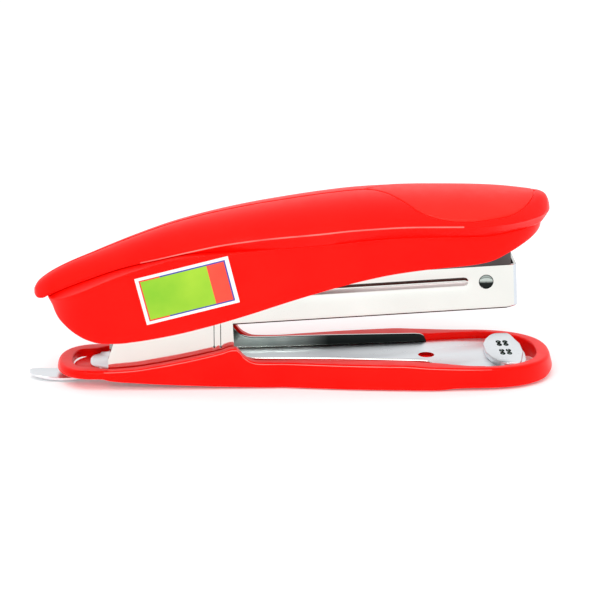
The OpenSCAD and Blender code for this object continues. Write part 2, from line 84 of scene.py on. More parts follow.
CAP_TOP = [(-53, 19.3), (-52.5, 20.3), (-51.8, 21.1), (-48, 23.6), (-40.1, 27), (-32.2, 30.1), (-24.3, 32.8),
           (-16.4, 34.8), (-8.6, 36.35), (-0.7, 37.6), (5.9, 38.5), (13.4, 39.25), (18.9, 39.5), (25.2, 39.6),
           (33.1, 39.5), (41, 39.2), (49, 38.6), (50.6, 38.5), (51.5, 38.25), (52.1, 37.9), (52.6, 37.1), (53, 35.8)]
CAP_LOW = [(-53, 18.4), (-52.2, 17.9), (-51.2, 18.1), (-49.8, 18.9), (-41.3, 22.6), (-34.1, 25.3), (-27, 27.2),
           (-20.6, 28.7), (-13, 29.3), (-5.1, 29.9), (5.2, 30.7), (24.2, 32.15), (36.9, 32.1), (45.6, 33),
           (50.2, 33.4), (50.7, 33.65), (51.4, 34.2), (52.2, 34.75), (53, 35.1)]
CAP_LIP = [(-53, 18.6), (-52.2, 18.1), (-51.2, 18.3), (-49.8, 19.1), (-41.3, 22.8), (-34.1, 25.5), (-27, 27.4),
           (-20.6, 29.1), (-14.4, 30.6), (-5.2, 32.1), (5.1, 33.2), (12.4, 34), (23.9, 34.6), (36.6, 34.5),
           (46.6, 34.9), (53, 35.2)]
PAD_OUT = [(14.7, 0.05), (17, 1.3), (19.2, 3.3), (20.9, 5.25), (23, 7.6), (25.2, 9.6), (27.6, 10.8), (30.2, 11.5),
           (33, 11.8), (35.5, 11.8), (38.2, 11.5), (40.9, 10.9), (42.8, 10.3), (44.5, 9.4), (46.4, 7.7), (48, 5.5),
           (49, 3.5), (49.5, 1.9), (49.8, 0.05)]


def law(table):
    """A smooth curve through the table's points that never overshoots them (monotone cubic)."""
    x = np.array([p[0] for p in table], float)
    y = np.array([p[1] for p in table], float)
    h = np.diff(x)
    d = np.diff(y) / h
    m = np.zeros(len(x))
    for i in range(1, len(x) - 1):
        if d[i - 1] * d[i] > 0:
            w1, w2 = 2 * h[i] + h[i - 1], h[i] + 2 * h[i - 1]
            m[i] = (w1 + w2) / (w1 / d[i - 1] + w2 / d[i])
    m[0], m[-1] = d[0], d[-1]

    def f(v):
        v = min(max(v, x[0]), x[-1])
        i = int(min(max(np.searchsorted(x, v) - 1, 0), len(x) - 2))
        t = (v - x[i]) / h[i]
        return ((1 + 2 * t) * (1 - t) ** 2 * y[i] + t * (1 - t) ** 2 * h[i] * m[i]
                + t * t * (3 - 2 * t) * y[i + 1] + t * t * (t - 1) * h[i] * m[i + 1])

    return f


def tapered(s, n):
    """Share of the full width at s of the way into a rounded end; n is how square the end is."""
    return 1.0 if s >= 1 else max(1e-6, 1 - (1 - max(s, 0.0)) ** n) ** (1 / n)


def ends(x, x0, r0, x1, r1, n):
    """Rounds both ends of a width law, over r0 from x0 and over r1 up to x1."""
    return tapered((x - x0) / r0, n) * tapered((x1 - x) / r1, n)


_ring_out, _ring_in, ring_top, ring_low = law(RING_OUT), law(RING_IN), law(RING_TOP), law(RING_LOW)
_skirt_out, skirt_low, skirt_top = law(SKIRT_OUT), law(SKIRT_LOW), law(SKIRT_TOP)
_cap_out, cap_top, cap_low, cap_lip, pad_out = law(CAP_OUT), law(CAP_TOP), law(CAP_LOW), law(CAP_LIP), law(PAD_OUT)


def ring_out(x):
    return _ring_out(x) * tapered((x - RING_TIPS[0]) / 8, 2.3) * tapered((RING_TIPS[1] - x) / 17.8, 2.4)


def ring_in(x):
    return _ring_in(x) * ends(x, -45.4, 2.4, 51, 13, 2.3)


def skirt_out(x):
    return _skirt_out(x) * ends(x, SKIRT_TIPS[0], 12, SKIRT_TIPS[1], 14, 2.2)


def cap_out(x):
    return _cap_out(x) * ends(x, CAP_TIPS[0], 3.6, CAP_TIPS[1], 16.3, 2)


def cap_z(x, y):
    """Height of the cap's crowned top."""
    return cap_top(x) - (cap_top(x) - cap_lip(x)) * min(1, abs(y) / max(0.01, cap_out(x))) ** 2.3


def mix(a, b, t):
    return a * (1 - t) + b * t


# ---------------------------------------------------------------- materials

def material(name):
    m = bpy.data.materials.new(name)
    m.use_nodes = True
    nt = m.node_tree
    return m, nt, nt.nodes["Principled BSDF"]


def noise(nt, scale, detail=3.0, stretch=(1, 1, 1), rough=0.5):
    """Noise on the piece's own coordinates, which are the frame's, in metres."""
    co = nt.nodes.new("ShaderNodeTexCoord")
    mp = nt.nodes.new("ShaderNodeMapping")
    mp.inputs["Scale"].default_value = stretch
    n = nt.nodes.new("ShaderNodeTexNoise")
    n.inputs["Scale"].default_value = scale
    n.inputs["Detail"].default_value = detail
    n.inputs["Roughness"].default_value = rough
    nt.links.new(co.outputs["Object"], mp.inputs["Vector"])
    nt.links.new(mp.outputs["Vector"], n.inputs["Vector"])
    return n.outputs["Fac"]


def ramp(nt, fac, stops):
    r = nt.nodes.new("ShaderNodeValToRGB")
    r.color_ramp.elements[0].position, r.color_ramp.elements[0].color = stops[0][0], (*stops[0][1], 1)
    r.color_ramp.elements[1].position, r.color_ramp.elements[1].color = stops[-1][0], (*stops[-1][1], 1)
    for pos, col in stops[1:-1]:
        e = r.color_ramp.elements.new(pos)
        e.color = (*col, 1)
    nt.links.new(fac, r.inputs["Fac"])
    return r.outputs["Color"]


def span(nt, fac, lo, hi, a, b):
    r = nt.nodes.new("ShaderNodeMapRange")
    r.inputs["From Min"].default_value, r.inputs["From Max"].default_value = lo, hi
    r.inputs["To Min"].default_value, r.inputs["To Max"].default_value = a, b
    nt.links.new(fac, r.inputs["Value"])
    return r.outputs["Result"]


def bump(nt, bsdf, fac, strength, distance):
    b = nt.nodes.new("ShaderNodeBump")
    b.inputs["Strength"].default_value = strength
    b.inputs["Distance"].default_value = distance
    nt.links.new(fac, b.inputs["Height"])
    nt.links.new(b.outputs["Normal"], bsdf.inputs["Normal"])


def plastic(name, dark, light, rough, coat, grain=2200, depth=0.25, gloss=0.2, tint=(1, 1, 1)):
    m, nt, b = material(name)
    nt.links.new(ramp(nt, noise(nt, 90), [(0.3, dark), (0.7, light)]), b.inputs["Base Color"])
    nt.links.new(span(nt, noise(nt, 420, 4), 0.3, 0.7, rough - 0.03, rough + 0.04), b.inputs["Roughness"])
    b.inputs["Coat Weight"].default_value = coat
    b.inputs["Coat Roughness"].default_value = 0.12
    b.inputs["Specular IOR Level"].default_value = gloss
    b.inputs["Specular Tint"].default_value = (*tint, 1)
    b.inputs["Coat Tint"].default_value = (*tint, 1)
    bump(nt, b, noise(nt, grain, 2), depth, 0.00002)
    return m


def metal(name, dark, light, rough, streak=(30, 400, 400), depth=0.12, low=None, along="Z", metallic=1.0):
    """Plated steel. low gives two places in mm along an axis: painted shade, near black, at the first, plain at the
    second.
    """
    m, nt, b = material(name)
    b.inputs["Metallic"].default_value = metallic
    colour = ramp(nt, noise(nt, 60, 4), [(0.3, dark), (0.7, light)])
    # painted shade: near black mixed in along the axis between the two places of low
    if low:
        place = nt.nodes.new("ShaderNodeTexCoord")
        split = nt.nodes.new("ShaderNodeSeparateXYZ")
        tint = nt.nodes.new("ShaderNodeMix")
        nt.links.new(place.outputs["Object"], split.inputs["Vector"])
        tint.data_type = "RGBA"
        nt.links.new(span(nt, split.outputs[along], low[0] * MM, low[1] * MM, 0, 1), tint.inputs["Factor"])
        tint.inputs["A"].default_value = (0.015, 0.018, 0.017, 1)
        nt.links.new(colour, tint.inputs["B"])
        colour = tint.outputs["Result"]
    nt.links.new(colour, b.inputs["Base Color"])
    fine = noise(nt, 6, 3, streak)
    nt.links.new(span(nt, fine, 0.3, 0.7, max(0.02, rough - 0.03), rough + 0.05), b.inputs["Roughness"])
    bump(nt, b, fine, depth, 0.000006)
    return m


RED = plastic("red_moulded", (0.95, 0.003, 0.0015), (0.99, 0.006, 0.003), 0.36, 0.07, gloss=0.35,
              tint=(1, 0.14, 0.11))
# painted highlight: a lighter pinkish red for the thin highlight lines along the cap's lip and the ring's top edge
RED_PAINTED_HIGHLIGHT = plastic("red_painted_highlight", (1.0, 0.045, 0.038), (1.0, 0.20, 0.17), 0.3, 0.3, gloss=0.5)
PAD_RED = plastic("pad_red", (0.94, 0.010, 0.007), (0.98, 0.018, 0.011), 0.42, 0.1, grain=5200, depth=0.6, gloss=0.35,
                  tint=(1, 0.3, 0.24))
BLACK = plastic("pusher_black", (0.02, 0.02, 0.022), (0.035, 0.035, 0.04), 0.4, 0.0)
NICKEL = metal("nickel_plate", (0.69, 0.695, 0.66), (0.76, 0.765, 0.73), 0.09)
SATIN = metal("nickel_satin", (0.82, 0.85, 0.875), (0.88, 0.905, 0.93), 0.30)
# painted shade: near-black nickel for inner faces, undersides and hollows
SHADED = metal("nickel_painted_shade", (0.035, 0.05, 0.045), (0.15, 0.18, 0.165), 0.07)
# painted shade and painted reflection: a darker, bluish nickel for the faces of the magazine's front
BEND_PAINTED_SHADE = metal("nickel_bend_painted_shade", (0.60, 0.64, 0.69), (0.68, 0.72, 0.77), 0.16)
# painted shade: plated steel coloured near black for the handle frame and driver blade in shade under the cover
STEEL_PAINTED_SHADE = metal("dark_steel", (0.06, 0.05, 0.05), (0.17, 0.15, 0.15), 0.10)
SPRING = metal("spring_steel", (0.5, 0.5, 0.51), (0.62, 0.62, 0.63), 0.22)
WIRE = metal("staple_wire", (0.66, 0.67, 0.68), (0.76, 0.77, 0.78), 0.22, streak=(900, 40, 40), depth=0.5)
PAPER = plastic("label_white", (0.80, 0.80, 0.78), (0.86, 0.86, 0.84), 0.5, 0.0, grain=3000)
LINE_RED = plastic("label_line_red", (0.75, 0.03, 0.03), (0.85, 0.05, 0.04), 0.5, 0.0)
LINE_BLUE = plastic("label_line_blue", (0.05, 0.05, 0.30), (0.07, 0.07, 0.38), 0.5, 0.0)
FIELD = plastic("label_green", (0.21, 0.50, 0.02), (0.38, 0.62, 0.035), 0.45, 0.1)
PANEL = plastic("label_orange", (0.82, 0.05, 0.03), (0.92, 0.09, 0.05), 0.45, 0.1)
LABEL_MATS = [PAPER, LINE_RED, LINE_BLUE, FIELD, PANEL]
RIVET = metal("rivet_steel", (0.48, 0.50, 0.49), (0.58, 0.60, 0.59), 0.09)
# painted shade: near black for the downward faces of the pressed groove and the magazine's bottom bend
GROOVE_PAINTED_SHADE = metal("groove_upper_painted_shade", (0.035, 0.012, 0.01), (0.10, 0.05, 0.045), 0.16)
# painted light: a pale, mostly non-metal finish for the upward faces of the pressed groove
GROOVE_LIT = metal("groove_lower_painted_light", (0.74, 0.70, 0.68), (0.88, 0.86, 0.84), 0.3, metallic=0.15)
# painted shade: the channel's inner sides are plain behind x -6 mm and fade to near black at x 8 mm and in front of it
FLANGE_PAINTED_SHADE = metal("channel_inside_painted_shade", (0.16, 0.19, 0.175), (0.62, 0.67, 0.63), 0.12, streak=(12, 300, 700), low=(8, -6),
               along="X")
# painted shade: near black below z 20.5 mm, fading to plain at z 21 mm, over the lower part of each rivet head
RIVET_HEAD_PAINTED_SHADE = metal("rivet_head_painted_shade", (0.42, 0.47, 0.44), (0.5, 0.55, 0.52), 0.07, low=(20.5, 21.0))


# the nodes that keep their CAD shape, with the finish and the width in mm of their eased edges; the handle frame and
# driver blade take near-black steel, which is painted shade
KEPT = {"anvil_rivets": (NICKEL, 0.12), "remover_rivets": (NICKEL, 0.14), "rod_block": (NICKEL, 0.15),
        "pusher": (BLACK, 0.14), "handle_frame": (STEEL_PAINTED_SHADE, 0.1), "driver_blade": (STEEL_PAINTED_SHADE, 0.06),
        "driver_rivets": (RIVET, 0.14), "handle_spring": (SPRING, 0.07)}


def finish_kept(node, mat, width):
    """Gives a CAD node its finish and rounds its hard edges."""
    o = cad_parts[node]
    o.data.materials.clear()
    o.data.materials.append(mat)
    mod = o.modifiers.new("eased", "BEVEL")
    mod.width = width * MM
    mod.segments = 2
    mod.limit_method = "ANGLE"
    mod.angle_limit = math.radians(40)


# ---------------------------------------------------------------- mesh helpers

def new_object(name, verts, faces, mat, body, smooth_angle=40):
    """A smooth-shaded mesh object from points in mm, riding on a body unless body is None."""
    me = bpy.data.meshes.new(name)
    me.from_pydata([tuple(float(c) * MM for c in v) for v in verts], [], faces)
    me.validate()
    bm = bmesh.new()
    bm.from_mesh(me)
    bmesh.ops.remove_doubles(bm, verts=bm.verts, dist=1e-7)
    bmesh.ops.recalc_face_normals(bm, faces=bm.faces)
    bm.to_mesh(me)
    bm.free()
    for m in (mat if isinstance(mat, (list, tuple)) else [mat]):
        me.materials.append(m)
    me.shade_smooth()
    me.set_sharp_from_angle(angle=math.radians(smooth_angle))
    o = bpy.data.objects.new(name, me)
    bpy.context.scene.collection.objects.link(o)
    if body:
        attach(o, body)
    return o


def loft(rings, round_again=False, caps="fan"):
    """Quads between closed loops of equal length. caps closes the ends: one face each (fan), rows of quads (strip)."""
    n, m = len(rings), len(rings[0])
    verts = [v for r in rings for v in r]
    faces = []
    for i in range(n if round_again else n - 1):
        k = (i + 1) % n
        for j in range(m):
            l = (j + 1) % m
            faces.append((i * m + j, i * m + l, k * m + l, k * m + j))
    if not round_again and caps == "fan":
        faces.append(tuple(range(m)))
        faces.append(tuple((n - 1) * m + j for j in range(m)))
    if not round_again and caps == "strip":
        h = m // 2
        for b in (0, (n - 1) * m):
            faces += [(b + j, b + j + 1, b + m - 2 - j, b + m - 1 - j) for j in range(h - 1)]
    return verts, faces


def join(*parts):
    verts, faces = [], []
    for v, f in parts:
        b = len(verts)
        verts += list(v)
        faces += [tuple(i + b for i in q) for q in f]
    return verts, faces


def fillet(points, radii, steps=4):
    """A closed 2-D outline with each corner rounded; radii is one number or one per corner."""
    out, n = [], len(points)
    for i, p in enumerate(points):
        r = radii[i] if isinstance(radii, (list, tuple)) else radii
        a, b = np.array(points[i - 1], float), np.array(points[(i + 1) % n], float)
        p = np.array(p, float)
        u, v = a - p, b - p
        lu, lv = np.linalg.norm(u), np.linalg.norm(v)
        if r <= 0 or lu < 1e-9 or lv < 1e-9:
            out.append(tuple(p))
            continue
        r = min(r, 0.49 * lu, 0.49 * lv)
        s, e = p + u / lu * r, p + v / lv * r
        for k in range(steps + 1):
            t = k / steps
            out.append(tuple((1 - t) ** 2 * s + 2 * t * (1 - t) * p + t * t * e))
    return out


def plate(outline, axis, lo, hi, edge=0.08):
    """A flat plate with eased edges. outline is 2-D; axis is the thin direction."""
    c = np.array(outline, float)
    mid = c.mean(0)
    nxt, prv = np.roll(c, -1, 0), np.roll(c, 1, 0)
    t = nxt - prv
    t /= np.maximum(np.linalg.norm(t, axis=1), 1e-9)[:, None]
    area = 0.5 * np.sum(c[:, 0] * nxt[:, 1] - nxt[:, 0] * c[:, 1])
    inward = np.stack([-t[:, 1], t[:, 0]], 1) * (1 if area > 0 else -1)

    def at(inset, h):
        q = c + inward * inset
        if axis == "y":
            return [(a, h, b) for a, b in q]
        if axis == "z":
            return [(a, b, h) for a, b in q]
        return [(h, a, b) for a, b in q]

    return loft([at(edge, lo), at(edge * 0.3, lo + edge * 0.3), at(0, lo + edge), at(0, hi - edge),
                 at(edge * 0.3, hi - edge * 0.3), at(edge, hi)])


def lathe(profile, steps=48):
    """Closed solid of revolution about Z from (radius, height) points, the first and last on the axis."""
    rings = [[(r * math.cos(2 * math.pi * k / steps), r * math.sin(2 * math.pi * k / steps), h) for k in range(steps)]
             for r, h in profile[1:-1]]
    v, f = loft(rings, caps="none")
    n, m = len(rings), steps
    v += [(0, 0, profile[0][1]), (0, 0, profile[-1][1])]
    f += [(n * m, (k + 1) % m, k) for k in range(m)]
    f += [(n * m + 1, (n - 1) * m + k, (n - 1) * m + (k + 1) % m) for k in range(m)]
    return v, f


def placed(part, matrix):
    v, f = part
    return [tuple(matrix @ Vector(p)) for p in v], f


def works(part):
    """From hinge coordinates (u along the magazine, y, v up from the pin) into the frame's."""
    m = Matrix.Translation((HINGE[0], 0, HINGE[1])) @ Matrix.Rotation(-TILT, 4, "Y")
    return placed(part, m)


def crowd(a, b, n, at_a=False, at_b=False):
    """n + 1 places from a to b, closer together at the ends asked for."""
    out = []
    for k in range(n + 1):
        t = k / n
        if at_a and at_b:
            t = 0.5 - 0.5 * math.cos(math.pi * t)
        elif at_a:
            t = 1 - math.cos(t * math.pi / 2)
        elif at_b:
            t = math.sin(t * math.pi / 2)
        out.append(a + (b - a) * t)
    return out


# places along the base, and along the magazine from the hinge pin
FLOOR_HOLE_X, ANVIL_X, ANVIL_RIVET_X, TONGUE_RIVET_X = 28.1, 44.4, 43.2, -36.1
RIVET_U, RIVET_V, ROD_V, ROD_BACK = 71.1, 0.91, -1.6, 9.3

# ---------------------------------------------------------------- moulded cover

COVER_WALL = 1.3


def cap_piece():
    """The cap: crowned top with a recess for the pad, a rolled lip, and a hollow underside."""
    groove, lip_r = 0.3, 0.22
    xs = crowd(-52.995, -44, 26, at_a=True) + crowd(-44, 13, 110)[1:] + crowd(13, 20, 26)[1:] \
        + crowd(20, 44, 60)[1:] + crowd(44, 52.995, 44, at_b=True)[1:]
    rings = []
    for x in xs:
        wc = cap_out(x)
        below = skirt_out(x) if SKIRT_TIPS[0] < x < SKIRT_TIPS[1] else 0
        wj = min(0.93 * wc, max(below, 0.85 * wc))
        wi = max(0.6 * wj, wj - COVER_WALL)
        zt, zl, zj = cap_top(x), cap_lip(x), cap_low(x)
        zi = max(zj + 0.05, zt - COVER_WALL - 0.1)
        pad = pad_out(x) if PAD_TIPS[0] < x < PAD_TIPS[1] else 0
        core = min(max(pad, 0.1), 0.93 * wc)
        gap = min(0.28, 0.05 * wc)
        fade = min(1, max(0, (x + 52.6) / 1.5)) * (1 if x < PAD_TIPS[1] else max(0, 1 - (x - PAD_TIPS[1]) / 0.25))
        half = []
        for k in range(9):
            half.append((core * k / 8, -groove * fade))
        for k in range(1, 6):
            t = k / 5
            half.append((core + gap * t, -groove * fade * (1 - math.sin(t * math.pi / 2))))
        for k in range(1, 27):
            half.append((mix(core + gap, wc, k / 26), 0))
        top = []
        for y, d in half:
            drop = (zt - zl) * (y / max(wc, 1e-6)) ** 2.3
            top.append((x, y, zt - drop + d))
        edge = top[-1]
        top[-1] = (x, edge[1] - min(lip_r, 0.1 * wc), edge[2] + min(lip_r, 0.2 * wc))
        rim = [(x, wc - 0.02 * min(1, wc), zl + 0.07), (x, wc - 0.12 * min(1, wc), zl - 0.05)]
        under = [(x, mix(wc - 0.2 * min(1, wc), wj, t), mix(zl - 0.04, zj, t ** 0.85)) for t in (0.25, 0.5, 0.75, 1)]
        right = top + rim + under
        inner = [(x, wi * k / 12, zi - (zi - zj - 0.04) * (k / 12) ** 2.3) for k in range(12, -1, -1)]
        outer = [(a, -y, z) for a, y, z in reversed(right)] + right[1:]
        low = [(x, wi, zj)] + inner + [(a, -y, z) for a, y, z in reversed(inner[:-1])] + [(x, -wi, zj)]
        rings.append(outer + low)
    v, f = loft(rings, caps="fan")
    o = new_object("cover_cap_moulding", v, f, [RED, RED_PAINTED_HIGHLIGHT], "handle", 60)
    # painted highlight: faces along the lip's crease take the lighter red
    for p in o.data.polygons:
        x, y, z = p.center / MM
        if -31 < x < 34 and abs(abs(y) - cap_out(x)) < 0.16 and abs(z - cap_lip(x) - 0.12) < 0.12:
            p.material_index = 1
    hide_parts("cover_cap")


def pad_piece():
    """The thumb pad, set into the cap's recess with a hair of gap round it."""
    xs = crowd(15.1, 49.6, 100, at_a=True, at_b=True)
    rings = []
    n = 18
    for x in xs:
        w = max(0.03, pad_out(x) - 0.14)
        top, low = [], []
        for k in range(-n, n + 1):
            s = math.sin(k / n * math.pi / 2)
            y = w * s
            ease = min(1, (w - abs(y)) / 0.35, (x - 15.05) / 0.6, (49.65 - x) / 0.35)
            ease = max(0, ease)
            rise = 0.05 + 0.04 * math.cos(s * math.pi / 2) - 0.2 * (1 - math.sqrt(1 - (1 - ease) ** 2))
            top.append((x, y, cap_z(x, y) + rise))
            low.append((x, y, cap_z(x, y) - 0.24))
        rings.append(top + low[::-1])
    v, f = loft(rings, caps="strip")
    o = new_object("thumb_pad_inset", v, f, PAD_RED, "handle", 60)
    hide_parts("thumb_pad")


def skirt_inner_x(x):
    """Where the inner wall stands for a station of the outer one, so that the ends keep their thickness."""
    if x < -38:
        return mix(-49, -38, (x + 50.3) / 12.3)
    return mix(37, 49.9, (x - 37) / 14.2) if x > 37 else x


def skirt_inner_w(x):
    return _skirt_out(x) * ends(x, -49, 11, 49.9, 13, 2.2) - COVER_WALL


def skirt_section(x):
    """Right-hand half section of the skirt at one station, as (x, y, z) with rounded edges."""
    xi, wo = skirt_inner_x(x), skirt_out(x)
    least = 0.01 if SKIRT_TIPS[0] + 0.01 < x < SKIRT_TIPS[1] - 0.01 else 0
    wi = max(least, min(wo - 0.02, skirt_inner_w(xi)))
    ws = max(least, min(wi, cap_out(xi) - 1.1))
    zb = skirt_low(x)
    zt = max(zb + 0.15, skirt_top(x))
    zs = cap_low(xi) - 0.05
    za = max(min(zt, zs) - 1.3, zb + 0.15)
    zc = max(zs - 1.1, za + 0.15)
    h = zt - zb
    r = min(0.28, 0.3 * h)
    pts = [(x, wo - 0.55 * r, zb), (x, wo - 0.2 * r, zb + 0.15 * r), (x, wo, zb + 0.6 * r)]
    for k in range(1, 8):
        t = k / 8
        pts.append((x, wo + 0.12 * math.sin(math.pi * t), mix(zb + 0.6 * r, zt - 1.2 * r, t)))
    shoulder = (mix(x, xi, 0.2), mix(wo, wi, 0.2), mix(zt, zs, 0.12))
    edge, peak = np.array((x, wo, zt - 1.2 * r)), np.array((x, wo - 0.02, zt))
    for t in (0, 0.25, 0.5, 0.75, 1):
        pts.append(tuple((1 - t) ** 2 * edge + 2 * t * (1 - t) * peak + t * t * np.array(shoulder)))
    inner = (xi, ws, zs)
    for t in (0.25, 0.5, 0.75, 1):
        pts.append(tuple(mix(np.array(shoulder), np.array(inner), t)))
    pts += [(xi, ws, zc), (xi, wi, za), (xi, wi, mix(za, zb, 0.5)), (xi, wi, zb)]
    return pts


def both_sides(right):
    """A closed band from the right-hand sections and their mirror images; the end sections lie on the middle plane."""
    left = [[(a, -y, z) for a, y, z in s] for s in reversed(right[1:-1])]
    return loft(right + left, round_again=True)


def skirt_piece():
    """The cover's side wall, carried round both ends."""
    xs = crowd(SKIRT_TIPS[0], -38, 30, at_a=True) + crowd(-38, 37, 90)[1:] \
        + crowd(37, SKIRT_TIPS[1], 34, at_b=True)[1:]
    v, f = both_sides([skirt_section(x) for x in xs])
    o = new_object("cover_skirt_moulding", v, f, RED, "handle", 50)
    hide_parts("cover_skirt")


# ---------------------------------------------------------------- moulded base ring

def ring_section(x):
    """Right-hand section of the ring at one station: four corners, each rounded."""
    if x < -38.3:
        t = (x - RING_TIPS[0]) / 10.45
        xi, xu = mix(-45.4, -38.3, t), mix(-48.3, -38.3, t)
    elif x > 36.7:
        t = (x - 36.7) / 17.8
        xi, xu = mix(36.7, 51, t), mix(36.7, 53.7, t)
    else:
        xi = xu = x
    wo, wi, zb, zt = ring_out(x), ring_in(xi), ring_low(x), ring_top(x)
    step = 0.25 * (0.5 + 0.5 * math.tanh((xi - 39) / 0.15))
    wi = max(0, wi + step * (1 if wi > 2 else 0))
    wt = max(0, wo - 0.15)
    c = [np.array(p) for p in ((xi, wi, zb), (x, wo, zb), (xu, wt, zt), (xi, wi, zt))]

    def turn(p, a, b, r, n=6):
        a, b = a - p, b - p
        s, e = p + a / max(np.linalg.norm(a), 1e-6) * r, p + b / max(np.linalg.norm(b), 1e-6) * r
        return [tuple((1 - t) ** 2 * s + 2 * t * (1 - t) * p + t * t * e) for t in [k / n for k in range(n + 1)]]

    pts = turn(c[0], c[3], c[1], 0.25, 3) + turn(c[1], c[0], c[2], 0.6)
    mid = (c[1] + c[2]) / 2
    pts.append((mid[0], mid[1] + 0.06 * (1 if wo > 0.5 else 0), mid[2]))
    return pts + turn(c[2], c[1], c[3], 0.75, 8) + turn(c[3], c[2], c[0], 0.4, 5)


def ring_piece():
    """The base ring with its rear ledge, and the cross web with the flat foot as a mesh of its own."""
    xs = crowd(RING_TIPS[0], -38.3, 26, at_a=True) + crowd(-38.3, -16, 30)[1:] + crowd(-16, -6, 70)[1:] \
        + crowd(-6, 36.7, 50)[1:] + crowd(36.7, RING_TIPS[1], 44, at_b=True)[1:]
    band = both_sides([ring_section(x) for x in xs])
    web = join(plate([(20, -11.9), (29, -11.9), (29, 11.9), (20, 11.9)], "z", 0, 2.7, 0.15),
               plate([(28.5, -11.9), (38, -11.9), (38, 11.9), (28.5, 11.9)], "z", 0.8, 2.69, 0.15))
    half = [(-45.2, 0), (-44.9, 1.5), (-44.1, 3), (-42.9, 4.4), (-41.6, 5.4), (-40.6, 6.3), (-38.2, 7.6),
            (-37.6, 7.6)]
    ledge = plate(half + [(a, -b) for a, b in reversed(half[1:])], "z", 2.2, 2.76)
    o = new_object("base_ring_moulding", *join(band, ledge), [RED, RED_PAINTED_HIGHLIGHT], "base", 50)
    # painted highlight: faces on the rounded outer top edge take the lighter red
    for p in o.data.polygons:
        x, y, z = p.center / MM
        if -39 < x < 40 and abs(y) > abs(ring_out(x)) - 0.45 and 0.50 < p.normal.z < 0.72:
            p.material_index = 1
    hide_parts("base_ring")
    o = new_object("base_ring_web", *web, RED, "base", 50)
    boolean_cut(o, rod(FLOOR_HOLE_X, 0, 0.6, 1.9, 3), crossing=True)


# ---------------------------------------------------------------- nickel-plated steel parts

SHEET = 0.6
FLOOR = 3.4
CHANNEL_OUT = law([(-38.2, 7.05), (-8.3, 7.05), (-4, 7.2), (28.4, 9.2), (30, 9.3)])
CHANNEL_TOP = [(-38.3, 3.5), (-38, 6), (-36.9, 8.95), (-35.6, 15.6), (-34.6, 18.6), (-33.6, 19.8), (-31.3, 20.3),
               (-29.4, 20.1), (-27.5, 19.2), (-14, 16.6), (-12.9, 16), (-12.5, 15.2), (-12.3, 10), (-12.15, 8.1),
               (-11.7, 7.55), (-11.1, 6.95), (-10.4, 6.4), (-9.6, 6.0), (-8.6, 5.78), (-7.4, 5.7), (-5, 5.68),
               (8, 5.65), (20, 5.4), (26.5, 5.25), (27.7, 5.1), (28.4, 4.75), (28.8, 4.2), (28.9, 3.7)]


def boolean_cut(o, part, crossing=False):
    """Cuts a closed part out of o and applies it; crossing says that o's own solids run into each other."""
    v, f = part
    me = bpy.data.meshes.new("cutter")
    me.from_pydata([tuple(float(c) * MM for c in p) for p in v], [], f)
    bm = bmesh.new()
    bm.from_mesh(me)
    bmesh.ops.recalc_face_normals(bm, faces=bm.faces)
    bm.to_mesh(me)
    bm.free()
    cutter = bpy.data.objects.new("cutter", me)
    bpy.context.scene.collection.objects.link(cutter)
    mod = o.modifiers.new("cut", "BOOLEAN")
    mod.operation = "DIFFERENCE"
    mod.solver = "EXACT"
    mod.use_self = crossing
    mod.object = cutter
    bpy.context.view_layer.update()
    done = bpy.data.meshes.new_from_object(o.evaluated_get(bpy.context.evaluated_depsgraph_get()))
    o.modifiers.clear()
    old = o.data
    o.data = done
    bpy.data.meshes.remove(old)
    bpy.data.objects.remove(cutter)
    o.data.set_sharp_from_angle(angle=math.radians(35))
    return o


def rod(x, y, z, r, length, axis="z", steps=40):
    """A round bar of radius r along an axis, starting at the given place."""
    part = lathe([(0, 0), (r, 0), (r, length), (0, length)], steps)
    turn = {"z": Matrix.Identity(4), "y": Matrix.Rotation(math.radians(-90), 4, "X"),
            "x": Matrix.Rotation(math.radians(90), 4, "Y")}[axis]
    return placed(part, Matrix.Translation((x, y, z)) @ turn)


